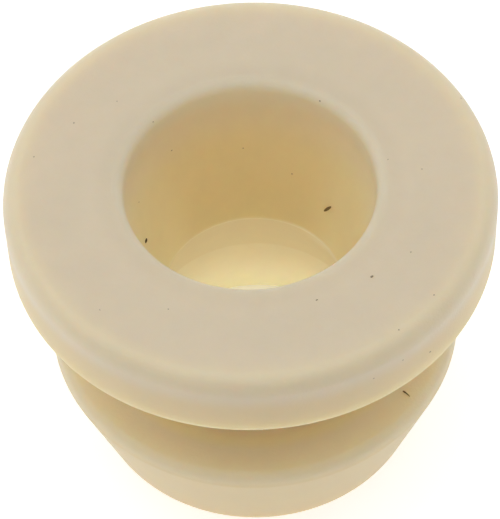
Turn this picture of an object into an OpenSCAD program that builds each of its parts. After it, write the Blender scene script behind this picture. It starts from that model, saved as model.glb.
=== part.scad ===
// Shift lever bushing.
//
// One moulded piece, turned about the Z axis. The wide flange lies on the lever's
// plate, the plate's eye sits in the groove below it, and the collar under the
// groove snaps through the eye, led in by the tapered nose. The ball end of the
// lever enters through the straight mouth of the bore and beds in the narrowing
// seat below it, and the well at the bottom clears its tip.
//
// Frame: millimetres, +Z up along the bore, origin in the middle of the nose's
// flat end, on which the part stands.

/* [Flange] */
// Outer diameter of the flange
flange_d = 25.4; // [24:0.2:30]
// Thickness of the flange
flange_t = 4.0; // [3.2:0.1:5.5]
// Rounding of the flange's top edge
flange_top_r = 1.0; // [0.3:0.1:1.3]
// Rounding of the flange's lower edge
flange_low_r = 0.4; // [0.1:0.1:0.8]

/* [Groove] */
// Height of the groove between the flange and the collar
groove_h = 7.1; // [6:0.1:9]
// Wall left between the bottom of the groove and the bore's mouth
neck_wall = 1.5; // [1.2:0.1:1.8]
// Fillet where the neck meets the flange and the collar
neck_fillet_r = 0.4; // [0.2:0.1:0.6]

/* [Collar] */
// Largest diameter of the collar
collar_d = 22.0; // [21:0.1:24]
// Height of the upright band round the collar
collar_band_h = 0.8; // [0.8:0.1:1.5]
// Rounding of the collar's top edge, within the upright band
collar_edge_r = 0.6; // [0.3:0.1:0.6]
// Rounding between the upright band and the taper
collar_blend_r = 0.5; // [0.1:0.1:0.6]

/* [Nose] */
// Height of the taper from the collar's band to the flat end
nose_h = 6.5; // [5.5:0.1:9]
// Diameter of the taper where it meets the flat end, before rounding
nose_end_d = 17.9; // [16.4:0.1:19.6]
// Rounding of the nose's lower edge
nose_edge_r = 0.6; // [0.3:0.1:1]

/* [Bore] */
// Diameter of the bore at its straight mouth
bore_d = 13.0; // [12.6:0.1:14.4]
// Rounding of the bore's mouth
mouth_r = 0.65; // [0.2:0.05:0.8]
// Depth below the flange's face at which the straight mouth gives way to the seat
mouth_depth = 2.0; // [1.8:0.1:2.6]
// Rounding between the straight mouth and the seat
mouth_blend_r = 3; // [1:0.5:3]
// Diameter of the throat, where the seat gives way to the steeper foot of the bore
throat_d = 10.0; // [9.8:0.1:10.4]
// Depth of the throat below the flange's face
throat_depth = 7.0; // [6.4:0.1:7.4]
// Rounding between the seat and the foot of the bore
throat_blend_r = 8; // [2:1:8]
// Depth below the flange's face at which the bore meets the tip well
bore_depth = 9.5; // [9:0.1:10.4]

/* [Tip well] */
// Diameter of the straight well at the bottom of the bore
well_d = 9.3; // [8.4:0.1:9.8]
// Depth of the well below the bore
well_depth = 2.3; // [1.5:0.1:3.5]
// Rounding of the edge between the bore and the well
well_edge_r = 0.2; // [0.1:0.1:0.3]
// Fillet between the well's wall and its floor
well_fillet_r = 0.4; // [0.2:0.1:0.8]

/* [Hidden] */
$fn = 180;

// Heights of the outer steps, from the flat end upwards
z_taper_top = nose_h;
z_collar_top = z_taper_top + collar_band_h;
z_flange_low = z_collar_top + groove_h;
z_top = z_flange_low + flange_t;

// Heights of the inner steps, from the flange's face downwards
z_mouth_low = z_top - mouth_depth;
z_throat = z_top - throat_depth;
z_well_top = z_top - bore_depth;
z_well_floor = z_well_top - well_depth;

neck_d = bore_d + 2 * neck_wall;

// Corners of the half section, anticlockwise from the foot of the axis:
// [radius, height, rounding]
section = [
    [0, 0, 0],
    [nose_end_d / 2, 0, nose_edge_r],
    [collar_d / 2, z_taper_top, collar_blend_r],
    [collar_d / 2, z_collar_top, collar_edge_r],
    [neck_d / 2, z_collar_top, neck_fillet_r],
    [neck_d / 2, z_flange_low, neck_fillet_r],
    [flange_d / 2, z_flange_low, flange_low_r],
    [flange_d / 2, z_top, flange_top_r],
    [bore_d / 2, z_top, mouth_r],
    [bore_d / 2, z_mouth_low, mouth_blend_r],
    [throat_d / 2, z_throat, throat_blend_r],
    [well_d / 2, z_well_top, well_edge_r],
    [well_d / 2, z_well_floor, well_fillet_r],
    [0, z_well_floor, 0]
];

function corner(i) =
    let (p = section[(i + len(section)) % len(section)]) [p[0], p[1]];
function unit(v) = v / norm(v);
// Positive where the section's edge turns left, which is at an outward corner
function bend(i) = cross(corner(i) - corner(i - 1), corner(i + 1) - corner(i));
function is_outward(i) = section[i][2] > 0 && bend(i) > 0;
function is_inward(i) = section[i][2] > 0 && bend(i) < 0;

// The sliver between a sharp corner and the arc that rounds it
module corner_sliver(i) {
    r = section[i][2];
    back = unit(corner(i - 1) - corner(i));
    ahead = unit(corner(i + 1) - corner(i));
    half_angle = acos(back * ahead) / 2;
    reach = r / tan(half_angle);
    centre = corner(i) + unit(back + ahead) * r / sin(half_angle);
    difference() {
        polygon([corner(i), corner(i) + back * reach, centre, corner(i) + ahead * reach]);
        translate(centre) circle(r);
    }
}

// The half section with every corner rounded: outward corners lose their sliver,
// and inward corners are filled with it
module half_section() {
    last = len(section) - 1;
    difference() {
        union() {
            polygon([for (i = [0:last]) corner(i)]);
            for (i = [0:last]) if (is_inward(i)) corner_sliver(i);
        }
        for (i = [0:last]) if (is_outward(i)) corner_sliver(i);
    }
}

module bushing() {
    color([0.87, 0.81, 0.69])
        rotate_extrude() half_section();
}

bushing();
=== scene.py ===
"""Looks of the shift lever bushing: its moulded skin, the specks on it, the floor and the light."""

from __future__ import annotations

import logging
import math
from dataclasses import dataclass, field
from enum import Enum
from typing import Sequence, Union

import bpy
import numpy as np
from mathutils import Matrix, Vector

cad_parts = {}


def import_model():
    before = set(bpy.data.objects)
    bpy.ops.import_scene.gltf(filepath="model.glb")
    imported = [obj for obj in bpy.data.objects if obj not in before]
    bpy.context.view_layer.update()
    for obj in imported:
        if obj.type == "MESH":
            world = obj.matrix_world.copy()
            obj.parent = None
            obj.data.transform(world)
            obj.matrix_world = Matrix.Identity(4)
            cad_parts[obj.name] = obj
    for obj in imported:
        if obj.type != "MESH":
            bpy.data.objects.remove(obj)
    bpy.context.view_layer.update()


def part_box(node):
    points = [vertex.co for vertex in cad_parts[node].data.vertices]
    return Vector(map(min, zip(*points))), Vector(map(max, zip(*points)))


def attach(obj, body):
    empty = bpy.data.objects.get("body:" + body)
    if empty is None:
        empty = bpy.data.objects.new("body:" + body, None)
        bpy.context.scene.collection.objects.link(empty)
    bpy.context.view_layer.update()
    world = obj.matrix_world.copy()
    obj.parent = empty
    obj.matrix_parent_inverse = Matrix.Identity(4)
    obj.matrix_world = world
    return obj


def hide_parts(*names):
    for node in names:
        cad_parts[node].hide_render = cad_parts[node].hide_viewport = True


LOG = logging.getLogger("bushing")
MM = 0.001
BODY = "root"
NODE = "bushing"

Operand = Union["Socket", float, int]
Colour = tuple[float, float, float]
Span = tuple[float, float]

WHITE: Colour = (1.0, 1.0, 1.0)
BLACK: Colour = (0.0, 0.0, 0.0)
NOISE_MIDDLE = 0.5


# ---------------------------------------------------------------- shader maths


class Socket:
    """A value's socket that Python's operators work on, each adding a Math node."""

    def __init__(self, tree: "NodeTree", socket: bpy.types.NodeSocket) -> None:
        """Wraps one output socket of a node in the tree."""
        self.tree = tree
        self.socket = socket

    def _math(self, operation: str, *operands: Operand) -> "Socket":
        """Adds a Math node that takes the operands in order."""
        made = self.tree.add("ShaderNodeMath", {"operation": operation}, dict(enumerate(operands)))
        return Socket(self.tree, made.outputs[0])

    def __add__(self, other: Operand) -> "Socket":
        """self + other."""
        return self._math("ADD", self, other)

    __radd__ = __add__

    def __sub__(self, other: Operand) -> "Socket":
        """self - other."""
        return self._math("SUBTRACT", self, other)

    def __rsub__(self, other: Operand) -> "Socket":
        """other - self."""
        return self._math("SUBTRACT", other, self)

    def __mul__(self, other: Operand) -> "Socket":
        """self * other."""
        return self._math("MULTIPLY", self, other)

    __rmul__ = __mul__

    def __truediv__(self, other: Operand) -> "Socket":
        """self / other."""
        return self._math("DIVIDE", self, other)

    def root(self) -> "Socket":
        """The square root."""
        return self._math("SQRT", self)

    def at_least(self, other: Operand) -> "Socket":
        """The larger of the two."""
        return self._math("MAXIMUM", self, other)

    def ramp(self, start: float, end: float) -> "Socket":
        """A smooth step from 0 at start to 1 at end.

        Args:
            start: Value at which the step begins.
            end: Value at which the step is complete.

        Returns:
            The step, between 0 and 1.
        """
        made = self.tree.add(
            "ShaderNodeMapRange",
            {"interpolation_type": "SMOOTHSTEP", "clamp": True},
            {"Value": self, "From Min": start, "From Max": end, "To Min": 0.0, "To Max": 1.0},
        )
        return Socket(self.tree, made.outputs["Result"])


class NodeTree:
    """A material's or a modifier's node tree, filled by one method."""

    def __init__(self, tree: bpy.types.NodeTree) -> None:
        """Wraps the tree and empties it."""
        self.tree = tree
        tree.nodes.clear()

    def add(
        self,
        kind: str,
        settings: dict[str, object] | None = None,
        inputs: dict[str | int, object] | None = None,
    ) -> bpy.types.Node:
        """Adds a node, sets it and then fills its inputs.

        Args:
            kind: Type name of the node.
            settings: The node's own properties, set before its inputs.
            inputs: Values or sockets by the input's name or number.

        Returns:
            The new node.
        """
        made = self.tree.nodes.new(kind)
        for name, value in (settings or {}).items():
            setattr(made, name, value)
        for name, value in (inputs or {}).items():
            target = made.inputs[name]
            if isinstance(value, Socket):
                self.tree.links.new(value.socket, target)
            elif isinstance(value, bpy.types.NodeSocket):
                self.tree.links.new(value, target)
            else:
                target.default_value = value
        return made

    def blend(self, low: object, high: object, amount: Socket) -> bpy.types.NodeSocket:
        """Mixes two colours.

        Args:
            low: Colour, or socket, at amount 0.
            high: Colour, or socket, at amount 1.
            amount: How far to go from low to high.

        Returns:
            The mixed colour's socket.
        """
        made = self.add("ShaderNodeMix", {"data_type": "RGBA", "clamp_factor": True})
        self.tree.links.new(amount.socket, made.inputs["Factor"])
        for name, value in (("A", low), ("B", high)):
            target = next(s for s in made.inputs if s.name == name and s.type == "RGBA")
            if isinstance(value, bpy.types.NodeSocket):
                self.tree.links.new(value, target)
            else:
                target.default_value = (*value, 1.0)
        return next(s for s in made.outputs if s.type == "RGBA")

    def scaled(self, colour: object, amount: Operand) -> bpy.types.NodeSocket:
        """A colour, or its socket, made lighter or darker by a factor."""
        made = self.add("ShaderNodeVectorMath", {"operation": "SCALE"}, {"Vector": colour, "Scale": amount})
        return made.outputs["Vector"]

    def cloud(self, place: bpy.types.NodeSocket, size_mm: float, detail: float = 2.0) -> Socket:
        """Soft random clouds.

        Args:
            place: Coordinates in metres.
            size_mm: About how wide one cloud is.
            detail: How many finer layers lie on it.

        Returns:
            A value round 0.5, between 0 and 1.
        """
        inputs = {"Vector": place, "Scale": 1 / (size_mm * MM), "Detail": detail}
        made = self.add("ShaderNodeTexNoise", inputs=inputs)
        return Socket(self, made.outputs[0])


def new_material(name: str) -> tuple[bpy.types.Material, NodeTree]:
    """Makes an empty node material.

    Args:
        name: The material's name.

    Returns:
        The material and its tree.
    """
    material = bpy.data.materials.new(name)
    material.use_nodes = True
    return material, NodeTree(material.node_tree)


# ---------------------------------------------------------------- finishes


@dataclass(frozen=True)
class Spot:
    """A point of the skin as the shader sees it, in millimetres.

    Across is towards the right, the height starts at the nose, and the radius is from the axis.
    """

    across: Socket
    height: Socket
    radius: Socket


@dataclass(frozen=True)
class NaturalNylon:
    """Undyed nylon as it leaves the mould: ivory, waxy, and clear enough for light to soak through.

    The bore's wall is golden, and lighter than the face as painted light for the light that soaks through
    the nylon into the bore; the flange's face is duller and greyer as its own skin, and darker as painted
    shade. Painted shade also darkens the face's inner ring and the lower bore wall. Painted light makes the
    bore's sides, the mouth, the lip, the flange's outer edge and the foot of the bore paler, and puts a
    highlight on the throat's edge that is stronger on the right. Heights and distances are in millimetres.
    A fade is the height or the width over which a tone comes in. A span is the two radii between which a
    tone comes in or goes out, and the edge's span is two distances from the throat. A rise or a drop is
    measured from the throat, except for the collar's, which is measured from the neck. A turn is how far
    across as a share of the radius, and the span beside is that share squared.
    """

    # Partly painted light: golden nylon, made lighter to stand in for light soaking through into the bore.
    wall: Colour = (0.838, 0.723, 0.41)
    # Painted light: the top of the bore's wall is paler, standing in for light soaking down from the face's
    # edge.
    mouth: Colour = (0.875, 0.785, 0.565)
    # Partly painted shade: the face's greyer, duller tone is its own skin; its darkening stands in for the
    # full light on top.
    face: Colour = (0.77, 0.67, 0.49)
    # Painted shade: the inner ring of the face, by the mouth, is darker.
    painted_shade_face: Colour = (0.735, 0.635, 0.465)
    # Painted light: the flange's outer edge is paler and less golden, standing in for its glow and sheen
    # against the light.
    rim: Colour = (0.815, 0.715, 0.525)
    side: Colour = (0.81, 0.68, 0.405)
    neck: Colour = (0.85, 0.745, 0.45)
    collar: Colour = (0.81, 0.705, 0.515)
    nose: Colour = (0.72, 0.582, 0.335)
    # Painted light: the foot of the bore is paler, most at the bottom, standing in for light from the table
    # below.
    foot: Colour = (0.90, 0.85, 0.60)
    # Painted shade: the lower bore wall, away from its sides, is darker, standing in for the shade deep in
    # the bore.
    painted_shade_low_wall: Colour = (0.805, 0.685, 0.36)
    # Painted light: the bore's left and right sides are lighter, standing in for the light that falls on
    # them.
    painted_light_side_wall: Colour = (0.87, 0.775, 0.475)
    flare: Colour = (0.78, 0.66, 0.365)
    # Painted highlight: the throat's edge, paler and stronger on the right, with a pale stroke just under
    # it on the right.
    painted_throat_highlight: Colour = (0.90, 0.83, 0.62)
    # Painted light: the lip's rounding is paler, standing in for the light that it catches.
    lip: Colour = (0.85, 0.765, 0.60)
    face_height: float = 18.2
    face_fade: float = 0.7
    painted_shade_span: Span = (7.2, 8.3)
    painted_shade_fade: float = 0.1
    mouth_height: float = 17.6
    mouth_fade: float = 3.8
    lip_span: Span = (6.55, 7.0)
    lip_fade: float = 1.2
    rim_span: Span = (11.2, 12.6)
    rim_height: float = 17.4
    rim_fade: float = 1.2
    neck_height: float = 14.3
    neck_fade: float = 0.3
    collar_span: Span = (8.6, 9.3)
    collar_drop: Span = (4.0, 3.7)
    nose_height: float = 7.1
    nose_fade: float = 0.6
    bore_reach: float = 6.8
    bore_fade: float = 0.4
    beside_span: Span = (0.25, 0.85)
    low_wall_rise: Span = (0.6, 4.4)
    throat_height: float = 8.9
    flare_fade: float = 0.2
    edge_span: Span = (0.05, 0.22)
    edge_turn: Span = (0.2, 0.8)
    edge_least: float = 0.3
    stroke_turn: Span = (0.5, 0.8)
    stroke_fade: float = 0.15
    stroke_drop: Span = (1.5, 0.4)
    stroke_strength: float = 0.5
    step_height: float = 5.1
    step_play: Span = (0.1, 0.15)
    foot_height: float = 0.4
    foot_least: float = 0.4
    cloud_mm: float = 3.5
    cloud_depth: float = 0.06
    mottle_mm: float = 0.9
    mottle_depth: float = 0.055
    mottle_detail: float = 4.0
    roughness: float = 0.52
    roughness_play: float = 0.14
    grain_mm: float = 0.16
    grain_height_mm: float = 0.012
    grain_detail: float = 3.0
    soak_mm: Colour = (2.4, 1.9, 1.3)
    ior: float = 1.53
    shine: float = 0.8

    def _walls(self, tree: NodeTree, spot: Spot, inside: Socket) -> bpy.types.NodeSocket:
        """The bore's wall above the throat, with painted shade low down and painted light on its sides and
        near the mouth, and the neck's tone elsewhere.

        Args:
            tree: The material's tree.
            spot: Where the shader is.
            inside: 1 in the bore and 0 outside it.

        Returns:
            The colour's socket.
        """
        # Painted light on the bore's left and right sides.
        beside = (spot.across * spot.across / (spot.radius * spot.radius)).ramp(*self.beside_span)
        # Painted shade low in the bore, except on its sides.
        low_start, low_end = (self.throat_height + rise for rise in self.low_wall_rise)
        low = 1.0 - spot.height.ramp(low_start, low_end)
        over_neck = spot.height.ramp(self.neck_height, self.neck_height + self.neck_fade)
        tone = tree.blend(self.neck, self.wall, inside.at_least(over_neck))
        tone = tree.blend(tone, self.painted_shade_low_wall, inside * low * (1.0 - beside))
        tone = tree.blend(tone, self.painted_light_side_wall, inside * beside)
        # Painted light soaking down the wall near the mouth.
        near_mouth = spot.height.ramp(self.mouth_height - self.mouth_fade, self.mouth_height)
        return tree.blend(tone, self.mouth, inside * near_mouth)

    def _throat(
        self, tree: NodeTree, spot: Spot, inside: Socket, tone: bpy.types.NodeSocket
    ) -> bpy.types.NodeSocket:
        """The flare under the throat, the foot below its step made paler as painted light, and a painted
        highlight on the throat's edge with a painted stroke of light under it on the right.

        Args:
            tree: The material's tree.
            spot: Where the shader is.
            inside: 1 in the bore and 0 outside it.
            tone: The colour so far.

        Returns:
            The colour's socket.
        """
        below = 1.0 - spot.height.ramp(self.throat_height - self.flare_fade, self.throat_height)
        tone = tree.blend(tone, self.flare, inside * below)
        # Painted light from below: the foot under the step is paler, more so towards the bottom.
        step_low, step_high = self.step_height - self.step_play[0], self.step_height + self.step_play[1]
        under_step = 1.0 - spot.height.ramp(step_low, step_high)
        towards_foot = 1.0 - spot.height.ramp(self.foot_height, self.step_height)
        paling = self.foot_least + towards_foot * (1.0 - self.foot_least)
        tone = tree.blend(tone, self.foot, inside * under_step * paling)
        # Painted highlight along the throat's edge, stronger on the right.
        above = spot.height - self.throat_height
        edge = 1.0 - (above * above).root().ramp(*self.edge_span)
        right = (spot.across / spot.radius).ramp(*self.edge_turn)
        lit = self.edge_least + right * (1.0 - self.edge_least)
        tone = tree.blend(tone, self.painted_throat_highlight, inside * edge * lit)
        # Painted stroke of light just under the throat's edge, on the right.
        just_below = 1.0 - spot.height.ramp(self.throat_height - self.stroke_fade, self.throat_height)
        stroke = just_below * (spot.across / spot.radius).ramp(*self.stroke_turn)
        stroke_low, stroke_high = (self.throat_height - drop for drop in self.stroke_drop)
        stroke = stroke * spot.height.ramp(stroke_low, stroke_high)
        return tree.blend(tone, self.painted_throat_highlight, inside * stroke * self.stroke_strength)

    def _outside(
        self, tree: NodeTree, spot: Spot, inside: Socket, tone: bpy.types.NodeSocket
    ) -> bpy.types.NodeSocket:
        """The flange's face with painted shade on it and on its inner ring, the lip with painted light, the
        collar, the nose, and the flange's side with painted light on its outer edge.

        Args:
            tree: The material's tree.
            spot: Where the shader is.
            inside: 1 in the bore and 0 outside it.
            tone: The colour so far.

        Returns:
            The colour's socket.
        """
        height, radius = spot.height, spot.radius
        tone = tree.blend(tone, self.face, height.ramp(self.face_height - self.face_fade, self.face_height))
        # Painted shade on the face's inner ring.
        at_face = height.ramp(self.face_height - self.painted_shade_fade, self.face_height)
        tone = tree.blend(tone, self.painted_shade_face, at_face * (1.0 - radius.ramp(*self.painted_shade_span)))
        # Painted light on the lip's rounding.
        at_lip = height.ramp(self.mouth_height - self.lip_fade, self.mouth_height)
        tone = tree.blend(tone, self.lip, at_lip * (1.0 - radius.ramp(*self.lip_span)))
        drop_start, drop_end = (self.neck_height - drop for drop in self.collar_drop)
        lower = 1.0 - height.ramp(drop_start, drop_end)
        tone = tree.blend(tone, self.collar, radius.ramp(*self.collar_span) * lower)
        at_nose = 1.0 - height.ramp(self.nose_height - self.nose_fade, self.nose_height)
        tone = tree.blend(tone, self.nose, (1.0 - inside) * at_nose)
        over_neck = height.ramp(self.neck_height, self.neck_height + self.neck_fade)
        outer = over_neck * radius.ramp(*self.rim_span)
        tone = tree.blend(tone, self.side, outer)
        # Painted glow and sheen on the flange's outer edge.
        at_rim = height.ramp(self.rim_height - self.rim_fade, self.rim_height)
        return tree.blend(tone, self.rim, outer * at_rim)

    def _colour(self, tree: NodeTree, place: bpy.types.NodeSocket) -> bpy.types.NodeSocket:
        """The colour of each part of the skin, with painted light and shade in several parts, soft clouds
        and a fine mottle.

        Args:
            tree: The material's tree.
            place: Object coordinates.

        Returns:
            The colour's socket.
        """
        axes = tree.add("ShaderNodeSeparateXYZ", inputs={"Vector": place})
        across, along, height = (Socket(tree, axes.outputs[i]) / MM for i in range(3))
        spot = Spot(across, height, (across * across + along * along).root())
        inside = 1.0 - spot.radius.ramp(self.bore_reach, self.bore_reach + self.bore_fade)
        tone = self._walls(tree, spot, inside)
        tone = self._throat(tree, spot, inside, tone)
        tone = self._outside(tree, spot, inside, tone)
        clouds = 1.0 + (tree.cloud(place, self.cloud_mm) - NOISE_MIDDLE) * self.cloud_depth
        fine = tree.cloud(place, self.mottle_mm, self.mottle_detail) - NOISE_MIDDLE
        mottle = 1.0 + fine * self.mottle_depth
        return tree.scaled(tone, clouds * mottle)

    def build(self) -> bpy.types.Material:
        """Makes the material.

        Returns:
            The nylon, reading Object coordinates.
        """
        material, tree = new_material("natural_nylon")
        place = tree.add("ShaderNodeTexCoord").outputs["Object"]
        uneven = tree.cloud(place, self.mottle_mm, self.grain_detail) - NOISE_MIDDLE
        dullness = self.roughness + uneven * self.roughness_play
        skin = tree.add(
            "ShaderNodeBump",
            inputs={
                "Strength": 1.0,
                "Distance": self.grain_height_mm * MM,
                "Height": tree.cloud(place, self.grain_mm, self.grain_detail),
            },
        )
        shader = tree.add(
            "ShaderNodeBsdfPrincipled",
            inputs={
                "Base Color": self._colour(tree, place),
                "Roughness": dullness,
                "Normal": skin.outputs["Normal"],
                "IOR": self.ior,
                "Specular IOR Level": self.shine,
                "Subsurface Weight": 1.0,
                "Subsurface Radius": self.soak_mm,
                "Subsurface Scale": MM,
            },
        )
        tree.add("ShaderNodeOutputMaterial", inputs={"Surface": shader.outputs[0]})
        return material


@dataclass(frozen=True)
class Dirt:
    """A dry speck's finish, in one even colour."""

    name: str
    colour: Colour
    roughness: float = 0.75

    def build(self) -> bpy.types.Material:
        """Makes the material.

        Returns:
            A matt material in the dirt's colour.
        """
        material, tree = new_material(self.name)
        inputs = {"Base Color": (*self.colour, 1.0), "Roughness": self.roughness}
        shader = tree.add("ShaderNodeBsdfPrincipled", inputs=inputs)
        tree.add("ShaderNodeOutputMaterial", inputs={"Surface": shader.outputs[0]})
        return material


@dataclass(frozen=True)
class PaleFloor:
    """The plain white table top, which gives a little light of its own and fades towards the front.

    It is lighter under the open bore and dimmer in a narrow ring round that. Radii and places along the
    floor are in millimetres.
    """

    colour: Colour = (0.86, 0.86, 0.86)
    glow: float = 0.54
    hole_light: Colour = (1.30, 1.27, 1.22)
    hole_radius: float = 5.5
    hole_fade: float = 0.3
    shade_colour: Colour = (0.58, 0.52, 0.38)
    shade_radius: float = 6.7
    shade_fade: float = 1.0
    fade_start: float = -12.0
    fade_end: float = -45.0
    roughness: float = 0.9

    def build(self) -> bpy.types.Material:
        """Makes the material.

        Returns:
            A matt white that also glows a little.
        """
        material, tree = new_material("pale_floor")
        place = tree.add("ShaderNodeTexCoord").outputs["Object"]
        axes = tree.add("ShaderNodeSeparateXYZ", inputs={"Vector": place})
        across, along = (Socket(tree, axes.outputs[i]) / MM for i in range(2))
        radius = (across * across + along * along).root()
        past_hole = radius.ramp(self.hole_radius, self.hole_radius + self.hole_fade)
        light = tree.blend(self.hole_light, self.shade_colour, past_hole)
        past_shade = radius.ramp(self.shade_radius, self.shade_radius + self.shade_fade)
        light = tree.blend(light, WHITE, past_shade)
        light = tree.blend(BLACK, light, along.ramp(self.fade_end, self.fade_start))
        shader = tree.add(
            "ShaderNodeBsdfPrincipled",
            inputs={
                "Base Color": (*self.colour, 1.0),
                "Roughness": self.roughness,
                "Specular IOR Level": 0.0,
                "Emission Color": light,
                "Emission Strength": self.glow,
            },
        )
        tree.add("ShaderNodeOutputMaterial", inputs={"Surface": shader.outputs[0]})
        return material


# ---------------------------------------------------------------- the turned body


@dataclass(frozen=True)
class Corner:
    """One corner of the half section, in millimetres."""

    radius: float
    height: float
    rounding: float = 0.0

    @property
    def place(self) -> np.ndarray:
        """Its radius and height as a vector."""
        return np.array([self.radius, self.height])


class Surface(Enum):
    """A face of the turned body that dirt can lie on."""

    FACE = "face"
    LEDGE = "ledge"
    BORE = "bore"
    RIM = "rim"


@dataclass
class TurnedBody:
    """The bushing itself: a half section with rounded corners, turned about the upright axis.

    Sizes are in millimetres. The flange's radius and the height come from the imported model's box. The
    steps say how finely arcs and walls are divided. Facing is how far a normal has to lean one way for its
    face to count as turned that way, and the bore is what lies the margin or more within the neck.
    """

    flange_radius: float
    height: float
    flange_thickness: float = 4.0
    groove_height: float = 7.1
    neck_radius: float = 8.0
    neck_round: float = 0.4
    collar_radius: float = 11.0
    collar_band: float = 0.8
    nose_radius: float = 8.95
    bore_radius: float = 6.5
    mouth_round: float = 0.65
    mouth_depth: float = 2.0
    mouth_blend: float = 3.0
    seat_radius: float = 5.1
    seat_depth: float = 7.0
    seat_blend: float = 8.0
    throat_radius: float = 4.85
    throat_depth: float = 9.5
    throat_round: float = 0.1
    flare_radius: float = 5.95
    flare_height: float = 5.1
    flare_blend: float = 0.15
    foot_radius: float = 6.5
    foot_edge: float = 0.7
    nose_round: float = 0.6
    taper_round: float = 0.5
    collar_round: float = 0.6
    flange_low_round: float = 0.4
    flange_round: float = 1.0
    arc_step: float = 0.06
    arc_least: int = 6
    wall_step: float = 0.45
    spokes: int = 332
    facing: float = 0.3
    bore_margin: float = 1.0

    @property
    def corners(self) -> list[Corner]:
        """The half section's corners.

        Returns:
            The corners, anticlockwise from the foot of the bore.
        """
        taper_top = self.height - self.flange_thickness - self.groove_height - self.collar_band
        collar_top = taper_top + self.collar_band
        flange_low = collar_top + self.groove_height
        return [
            Corner(self.foot_radius, 0.0, self.foot_edge),
            Corner(self.nose_radius, 0.0, self.nose_round),
            Corner(self.collar_radius, taper_top, self.taper_round),
            Corner(self.collar_radius, collar_top, self.collar_round),
            Corner(self.neck_radius, collar_top, self.neck_round),
            Corner(self.neck_radius, flange_low, self.neck_round),
            Corner(self.flange_radius, flange_low, self.flange_low_round),
            Corner(self.flange_radius, self.height, self.flange_round),
            Corner(self.bore_radius, self.height, self.mouth_round),
            Corner(self.bore_radius, self.height - self.mouth_depth, self.mouth_blend),
            Corner(self.seat_radius, self.height - self.seat_depth, self.seat_blend),
            Corner(self.throat_radius, self.height - self.throat_depth, self.throat_round),
            Corner(self.flare_radius, self.flare_height, self.flare_blend),
        ]

    def _arc(self, before: Corner, here: Corner, after: Corner) -> list[np.ndarray]:
        """Rounds a corner.

        Args:
            before: The corner before it.
            here: The corner itself.
            after: The corner after it.

        Returns:
            The points of the arc, from the edge before the corner to the edge after it.
        """
        back = before.place - here.place
        ahead = after.place - here.place
        back /= np.linalg.norm(back)
        ahead /= np.linalg.norm(ahead)
        half = math.acos(float(np.clip(back @ ahead, -1.0, 1.0))) / 2
        inward = (back + ahead) / np.linalg.norm(back + ahead)
        centre = here.place + inward * here.rounding / math.sin(half)
        reach = here.rounding / math.tan(half)
        start = here.place + back * reach - centre
        sweep = math.pi - 2 * half
        if ahead[0] * back[1] - ahead[1] * back[0] < 0:
            sweep = -sweep
        steps = max(self.arc_least, math.ceil(abs(sweep) * here.rounding / self.arc_step))
        points = []
        for i in range(steps + 1):
            c = math.cos(sweep * i / steps)
            s = math.sin(sweep * i / steps)
            points.append(centre + np.array([c * start[0] - s * start[1], s * start[0] + c * start[1]]))
        return points

    def outline(self) -> np.ndarray:
        """The whole half section as closely spaced points.

        Returns:
            Rows of radius and height in millimetres, anticlockwise, the last one next to the first.
        """
        corners = self.corners
        rough: list[np.ndarray] = []
        for i, here in enumerate(corners):
            rough += self._arc(corners[i - 1], here, corners[(i + 1) % len(corners)])
        fine: list[np.ndarray] = []
        for i, here in enumerate(rough):
            step = rough[(i + 1) % len(rough)] - here
            pieces = max(1, math.ceil(float(np.linalg.norm(step)) / self.wall_step))
            fine += [here + step * k / pieces for k in range(pieces)]
        return np.array(fine)

    def station(self, surface: Surface, value: float) -> tuple[np.ndarray, np.ndarray]:
        """Finds a place on the half section.

        Args:
            surface: The face that it lies on.
            value: Its radius on a level face, or its height on a wall, in millimetres.

        Returns:
            The place and the outward normal there, each as radius and height.
        """
        rows = self.outline()
        steps = np.roll(rows, -1, axis=0) - rows
        normals = np.column_stack([steps[:, 1], -steps[:, 0]]) / np.linalg.norm(steps, axis=1)[:, None]
        level = surface in (Surface.FACE, Surface.LEDGE)
        along = rows[:, 0] if level else rows[:, 1]
        upper = rows[:, 1] > self.height - self.flange_thickness
        rising = normals[:, 1] > self.facing
        outside = rows[:, 0] > self.neck_radius + self.neck_round
        within = rows[:, 0] < self.neck_radius - self.bore_margin
        fits = {
            Surface.FACE: upper & rising,
            Surface.LEDGE: ~upper & rising & outside,
            Surface.BORE: (normals[:, 0] < -self.facing) & within,
            Surface.RIM: upper & (normals[:, 0] > self.facing),
        }[surface]
        near = int(np.argmin(np.where(fits, abs(along - value), np.inf)))
        slope = steps[near, 0] if level else steps[near, 1]
        share = float(np.clip((value - along[near]) / slope, -1.0, 1.0)) if slope else 0.0
        return rows[near] + share * steps[near], normals[near]

    def build(self) -> bpy.types.Object:
        """Turns the outline into a closed mesh of quads.

        Returns:
            The body's object, at the origin.
        """
        rows = self.outline()
        angles = np.arange(self.spokes) * 2 * math.pi / self.spokes
        ring = np.stack([np.cos(angles), np.sin(angles)], axis=1)
        verts = np.concatenate([np.column_stack([ring * r, np.full(self.spokes, z)]) for r, z in rows]) * MM
        index = np.arange(len(verts)).reshape(len(rows), self.spokes)
        beside = np.roll(index, -1, axis=1)
        above = np.roll(index, -1, axis=0)
        faces = np.stack([index, beside, np.roll(above, -1, axis=1), above], axis=-1).reshape(-1, 4)
        mesh = bpy.data.meshes.new("bushing_skin")
        mesh.from_pydata(verts.tolist(), [], faces.tolist())
        mesh.update()
        mesh.shade_smooth()
        body = bpy.data.objects.new("bushing_skin", mesh)
        bpy.context.scene.collection.objects.link(body)
        return body


# ---------------------------------------------------------------- dirt


@dataclass(frozen=True)
class Grain:
    """One speck: where it lies and how large it is, in millimetres and degrees.

    Turn is the angle round the axis, and lie is how far its length is tilted from level. The station
    is a radius on a level face and a height on a wall.
    """

    surface: Surface
    turn: float
    station: float
    length: float
    width: float
    lie: float = 0.0


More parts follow.
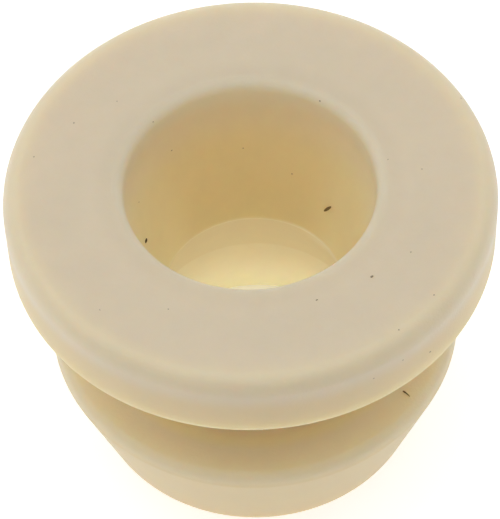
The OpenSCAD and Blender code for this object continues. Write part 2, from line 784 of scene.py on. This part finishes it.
@dataclass
class GritField:
    """Specks of one kind of dirt, each a flat, uneven pebble pressed into the skin.

    Flatness is thickness as a share of width, proud is how far the middle stands out as a share of the
    thickness, and unevenness is how far a lump moves the surface as a share of the lumps' size.
    """

    name: str
    finish: Dirt
    grains: Sequence[Grain]
    bed: TurnedBody
    flatness: float = 0.4
    proud: float = 0.05
    unevenness: float = 0.28
    seed: float = 7.0
    lump_mm: float = 0.15
    subdivisions: int = 2

    def seats(self) -> bpy.types.Object:
        """One point for each grain, with the way that it lies and its size.

        Returns:
            An object of loose points with the attributes "lie" and "size".
        """
        points, lies, sizes = [], [], []
        for grain in self.grains:
            place, normal = self.bed.station(grain.surface, grain.station)
            turn, lie = math.radians(grain.turn), math.radians(grain.lie)
            out = Vector((normal[0] * math.cos(turn), normal[0] * math.sin(turn), normal[1]))
            level = Vector((-math.sin(turn), math.cos(turn), 0.0))
            length = math.cos(lie) * level + math.sin(lie) * out.cross(level)
            thick = grain.width * self.flatness
            foot = Vector((place[0] * math.cos(turn), place[0] * math.sin(turn), place[1]))
            points.append((foot + out * thick * self.proud) * MM)
            lies.append(Matrix((length, out.cross(length), out)).transposed().to_euler())
            sizes.append((grain.length * MM / 2, grain.width * MM / 2, thick * MM / 2))
        mesh = bpy.data.meshes.new(self.name)
        mesh.from_pydata(points, [], [])
        for title, rows in (("lie", lies), ("size", sizes)):
            data = mesh.attributes.new(title, "FLOAT_VECTOR", "POINT").data
            data.foreach_set("vector", [v for row in rows for v in row])
        seats = bpy.data.objects.new(self.name, mesh)
        bpy.context.scene.collection.objects.link(seats)
        return seats

    def pebbles(self) -> bpy.types.NodeTree:
        """The tree that puts an uneven pebble on each point.

        Returns:
            The tree, with the inputs Seats, Unevenness, Seed and Finish.
        """
        group = bpy.data.node_groups.new(self.name, "GeometryNodeTree")
        kinds = {"Seats": "Geometry", "Unevenness": "Float", "Seed": "Float", "Finish": "Material"}
        for title, kind in kinds.items():
            group.interface.new_socket(title, in_out="INPUT", socket_type="NodeSocket" + kind)
        group.interface.new_socket("Pebbles", in_out="OUTPUT", socket_type="NodeSocketGeometry")
        tree = NodeTree(group)
        given = tree.add("NodeGroupInput").outputs
        ball_inputs = {"Radius": 1.0, "Subdivisions": self.subdivisions}
        ball = tree.add("GeometryNodeMeshIcoSphere", inputs=ball_inputs)
        attribute = {"data_type": "FLOAT_VECTOR"}
        lie = tree.add("GeometryNodeInputNamedAttribute", attribute, {"Name": "lie"})
        size = tree.add("GeometryNodeInputNamedAttribute", attribute, {"Name": "size"})
        placed = tree.add(
            "GeometryNodeInstanceOnPoints",
            inputs={
                "Points": given["Seats"],
                "Instance": ball.outputs["Mesh"],
                "Rotation": lie.outputs["Attribute"],
                "Scale": size.outputs["Attribute"],
            },
        )
        solid = tree.add("GeometryNodeRealizeInstances", inputs={"Geometry": placed.outputs["Instances"]})
        lumps = tree.add(
            "ShaderNodeTexNoise",
            {"noise_dimensions": "4D"},
            {"Scale": 1 / (self.lump_mm * MM), "Detail": 1.0, "W": given["Seed"]},
        )
        centred = tree.add(
            "ShaderNodeVectorMath",
            {"operation": "SUBTRACT"},
            {0: lumps.outputs["Color"], 1: (NOISE_MIDDLE,) * 3},
        )
        reach = Socket(tree, given["Unevenness"]) * (self.lump_mm * MM)
        moved = tree.add(
            "GeometryNodeSetPosition",
            inputs={
                "Geometry": solid.outputs["Geometry"],
                "Offset": tree.scaled(centred.outputs["Vector"], reach),
            },
        )
        dressed = tree.add(
            "GeometryNodeSetMaterial",
            inputs={"Geometry": moved.outputs["Geometry"], "Material": given["Finish"]},
        )
        tree.add("NodeGroupOutput", inputs={"Pebbles": dressed.outputs["Geometry"]})
        return group

    def build(self) -> bpy.types.Object:
        """Grows the pebbles and turns them into a plain mesh.

        Returns:
            The specks' object, at the origin.
        """
        seats = self.seats()
        modifier = seats.modifiers.new("pebbles", "NODES")
        modifier.node_group = self.pebbles()
        given = {"Unevenness": self.unevenness, "Seed": self.seed, "Finish": self.finish.build()}
        for item in modifier.node_group.interface.items_tree:
            if item.in_out == "INPUT" and item.name in given:
                modifier[item.identifier] = given[item.name]
        graph = bpy.context.evaluated_depsgraph_get()
        mesh = bpy.data.meshes.new_from_object(seats.evaluated_get(graph))
        seats.modifiers.remove(modifier)
        seats.data = mesh
        return seats


@dataclass
class Fibre:
    """A short, curved fibre that tapers to its tail and lies on the collar.

    Head, bend and tail are places across and along, in millimetres. The head is blunt: it starts at a
    share of the radius and widens at the given rate. Lift is the height of the middle as a share of
    the head's radius, so that the fibre sinks in a little.
    """

    finish: Dirt
    bed: TurnedBody
    head: tuple[float, float] = (7.68, -5.83)
    bend: tuple[float, float] = (7.86, -5.95)
    tail: tuple[float, float] = (8.03, -6.19)
    head_radius: float = 0.055
    tail_radius: float = 0.018
    blunt_share: float = 0.35
    blunt_rate: float = 4.0
    lift: float = 0.8
    rings: int = 14
    sides: int = 10

    def build(self) -> bpy.types.Object:
        """Sweeps a round section along the fibre.

        Returns:
            The fibre's object, at the origin.
        """
        ledge = self.bed.station(Surface.LEDGE, math.hypot(*self.head))[0][1]
        up = Vector((0, 0, 1))
        axes = tuple(zip(self.head, self.bend, self.tail))
        verts: list[Vector] = []
        for i in range(self.rings):
            t = i / (self.rings - 1)
            spot = [(1 - t) ** 2 * a + 2 * t * (1 - t) * b + t * t * c for a, b, c in axes]
            slope = [(1 - t) * (b - a) + t * (c - b) for a, b, c in axes]
            ahead = Vector((*slope, 0.0)).normalized()
            side = ahead.cross(up)
            blunt = min(1.0, self.blunt_share + self.blunt_rate * t)
            radius = (self.head_radius + (self.tail_radius - self.head_radius) * t) * blunt
            centre = Vector((*spot, ledge + self.head_radius * self.lift))
            for k in range(self.sides):
                angle = 2 * math.pi * k / self.sides
                out = math.cos(angle) * side + math.sin(angle) * up
                verts.append((centre + out * radius) * MM)
        n = self.sides
        faces = [
            (i * n + k, i * n + (k + 1) % n, (i + 1) * n + (k + 1) % n, (i + 1) * n + k)
            for i in range(self.rings - 1)
            for k in range(n)
        ]
        faces.append(tuple(reversed(range(n))))
        faces.append(tuple(range((self.rings - 1) * n, self.rings * n)))
        mesh = bpy.data.meshes.new("fibre")
        mesh.from_pydata([tuple(v) for v in verts], [], faces)
        mesh.materials.append(self.finish.build())
        mesh.shade_smooth()
        fibre = bpy.data.objects.new("fibre", mesh)
        bpy.context.scene.collection.objects.link(fibre)
        return fibre


DARK_DIRT = Dirt("dark_dirt", (0.05, 0.03, 0.006))
BROWN_DIRT = Dirt("brown_dirt", (0.20, 0.13, 0.05))
FAINT_DIRT = Dirt("faint_dirt", (0.30, 0.24, 0.16))
FIBRE_DIRT = Dirt("fibre_dirt", (0.14, 0.09, 0.045))

DARK_GRAINS = (Grain(Surface.BORE, 176.0, 13.14, 0.48, 0.18, 155.0),)
BROWN_GRAINS = (Grain(Surface.BORE, 37.5, 11.69, 0.86, 0.17, 59.0),)
FAINT_GRAINS = (
    Grain(Surface.FACE, -46.9, 8.63, 0.17, 0.13),
    Grain(Surface.BORE, 138.2, 18.08, 0.09, 0.07),
    Grain(Surface.BORE, 54.6, 18.09, 0.10, 0.08),
    Grain(Surface.FACE, 169.2, 11.26, 0.08, 0.06),
    Grain(Surface.FACE, 154.7, 9.97, 0.09, 0.07),
    Grain(Surface.FACE, 38.6, 10.69, 0.08, 0.06),
    Grain(Surface.FACE, 2.4, 8.84, 0.07, 0.06),
    Grain(Surface.FACE, -31.6, 9.31, 0.08, 0.07),
    Grain(Surface.FACE, -40.4, 11.68, 0.09, 0.07),
    Grain(Surface.FACE, -67.8, 8.22, 0.13, 0.09),
    Grain(Surface.FACE, -118.6, 8.91, 0.08, 0.06),
    Grain(Surface.FACE, -134.7, 10.86, 0.09, 0.07),
    Grain(Surface.FACE, 24.6, 12.30, 0.09, 0.07),
    Grain(Surface.FACE, -53.7, 11.89, 0.08, 0.07),
    Grain(Surface.RIM, -47.0, 15.95, 0.12, 0.10),
    Grain(Surface.RIM, -63.2, 16.82, 0.08, 0.06),
    Grain(Surface.RIM, -55.4, 17.03, 0.08, 0.06),
    Grain(Surface.BORE, 65.1, 12.58, 0.09, 0.07),
    Grain(Surface.BORE, 92.9, 13.88, 0.08, 0.07),
    Grain(Surface.BORE, 131.0, 15.31, 0.09, 0.08),
    Grain(Surface.BORE, 164.2, 14.86, 0.08, 0.07),
    Grain(Surface.FACE, 140.4, 8.79, 0.06, 0.05),
    Grain(Surface.FACE, 8.6, 7.30, 0.06, 0.05),
)


# ---------------------------------------------------------------- studio


@dataclass(frozen=True)
class SoftBox:
    """A square lamp that faces the bushing, with angles in degrees and lengths in metres."""

    name: str
    azimuth: float
    elevation: float
    distance: float
    width: float
    radiance: float

    def build(self, target: Vector) -> bpy.types.Object:
        """Hangs the lamp.

        Args:
            target: The point that it faces.

        Returns:
            The lamp's object.
        """
        data = bpy.data.lights.new(self.name, "AREA")
        data.shape = "SQUARE"
        data.size = self.width
        data.energy = self.radiance * math.pi * self.width**2
        lamp = bpy.data.objects.new(self.name, data)
        a, e = math.radians(self.azimuth), math.radians(self.elevation)
        away = Vector((math.sin(a) * math.cos(e), -math.cos(a) * math.cos(e), math.sin(e)))
        lamp.location = target + away * self.distance
        lamp.rotation_mode = "QUATERNION"
        lamp.rotation_quaternion = away.to_track_quat("Z", "Y")
        bpy.context.scene.collection.objects.link(lamp)
        return lamp


@dataclass
class Studio:
    """Floor, light and camera.

    Angles are in degrees. The focal length is in pixels of the picture, the eye's place and the floor's
    gap under the nose are in millimetres, and the target, the floor and the clip distances in metres.
    """

    picture_height: int = 519
    focal_px: float = 2836.0
    sensor_mm: float = 36.0
    eye_mm: tuple[float, float, float] = (0.0, -89.14, 132.57)
    yaw: float = -0.09
    pitch: float = 53.60
    roll: float = -2.21
    clip: Span = (0.01, 10.0)
    target: tuple[float, float, float] = (0.0, 0.0, 0.01)
    sky: float = 0.27
    floor_half: float = 1.5
    floor_gap_mm: float = 0.02
    boxes: Sequence[SoftBox] = field(
        default_factory=lambda: (
            SoftBox("overhead_box", 0.0, 89.9, 0.5, 0.40, 0.81),
            SoftBox("front_high_box", 0.0, 62.0, 0.5, 0.30, 0.75),
            SoftBox("right_high_box", 90.0, 58.0, 0.5, 0.30, 0.69),
            SoftBox("back_high_box", 180.0, 58.0, 0.5, 0.30, 0.53),
            SoftBox("left_high_box", 270.0, 58.0, 0.5, 0.30, 0.99),
            SoftBox("back_right_box", 135.0, 38.0, 0.5, 0.30, 0.71),
            SoftBox("back_left_box", 225.0, 38.0, 0.5, 0.30, 0.90),
            SoftBox("front_left_box", 315.0, 38.0, 0.5, 0.30, 0.16),
            SoftBox("back_low_box", 180.0, 16.0, 0.5, 0.28, 0.33),
            SoftBox("left_low_box", 270.0, 16.0, 0.5, 0.28, 0.32),
        )
    )

    def camera(self) -> bpy.types.Object:
        """Makes the scene's camera.

        Returns:
            The camera's object.
        """
        yaw, pitch, roll = (math.radians(v) for v in (self.yaw, self.pitch, self.roll))
        level_reach = math.cos(pitch)
        ahead = Vector((math.sin(yaw) * level_reach, math.cos(yaw) * level_reach, -math.sin(pitch)))
        level = ahead.cross(Vector((0, 0, 1))).normalized()
        upright = level.cross(ahead)
        right = math.cos(roll) * level + math.sin(roll) * upright
        top = -math.sin(roll) * level + math.cos(roll) * upright
        data = bpy.data.cameras.new("camera")
        data.sensor_width = self.sensor_mm
        data.lens = self.focal_px * self.sensor_mm / self.picture_height
        data.clip_start, data.clip_end = self.clip
        camera = bpy.data.objects.new("camera", data)
        turn = Matrix((right, top, -ahead)).transposed().to_4x4()
        camera.matrix_world = Matrix.Translation(Vector(self.eye_mm) * MM) @ turn
        bpy.context.scene.collection.objects.link(camera)
        bpy.context.scene.camera = camera
        return camera

    def floor(self) -> bpy.types.Object:
        """Lays the table top under the nose.

        Returns:
            The floor's object.
        """
        half = self.floor_half
        low = -self.floor_gap_mm * MM
        rim = [(-half, -half, low), (half, -half, low), (half, half, low), (-half, half, low)]
        mesh = bpy.data.meshes.new("floor")
        mesh.from_pydata(rim, [], [(0, 1, 2, 3)])
        mesh.materials.append(PaleFloor().build())
        floor = bpy.data.objects.new("floor", mesh)
        bpy.context.scene.collection.objects.link(floor)
        return floor

    def light(self) -> None:
        """Sets the white surroundings and hangs the lamps."""
        world = bpy.data.worlds.new("surroundings")
        world.use_nodes = True
        tree = NodeTree(world.node_tree)
        sky = tree.add("ShaderNodeBackground", inputs={"Color": (*WHITE, 1.0), "Strength": self.sky})
        tree.add("ShaderNodeOutputWorld", inputs={"Surface": sky.outputs[0]})
        bpy.context.scene.world = world
        for box in self.boxes:
            box.build(Vector(self.target))


def main() -> None:
    """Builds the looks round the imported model."""
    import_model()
    bpy.context.scene.view_settings.view_transform = "Standard"

    low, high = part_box(NODE)
    studio = Studio()
    studio.camera()
    studio.floor()
    studio.light()

    turned = TurnedBody(flange_radius=(high.x - low.x) / 2 / MM, height=high.z / MM)
    body = turned.build()
    body.data.materials.append(NaturalNylon().build())
    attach(body, BODY)
    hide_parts(NODE)
    LOG.info("bushing_skin: %d faces", len(body.data.polygons))

    fields = (
        GritField("dark_specks", DARK_DIRT, DARK_GRAINS, turned),
        GritField("brown_specks", BROWN_DIRT, BROWN_GRAINS, turned),
        GritField("faint_specks", FAINT_DIRT, FAINT_GRAINS, turned, flatness=0.2),
    )
    pieces = [grit.build() for grit in fields]
    pieces.append(Fibre(FIBRE_DIRT, turned).build())
    for piece in pieces:
        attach(piece, BODY)
        LOG.info("%s: %d faces", piece.name, len(piece.data.polygons))


if __name__ == "__main__":
    logging.basicConfig(level=logging.INFO, format="%(name)s: %(message)s")
    main()
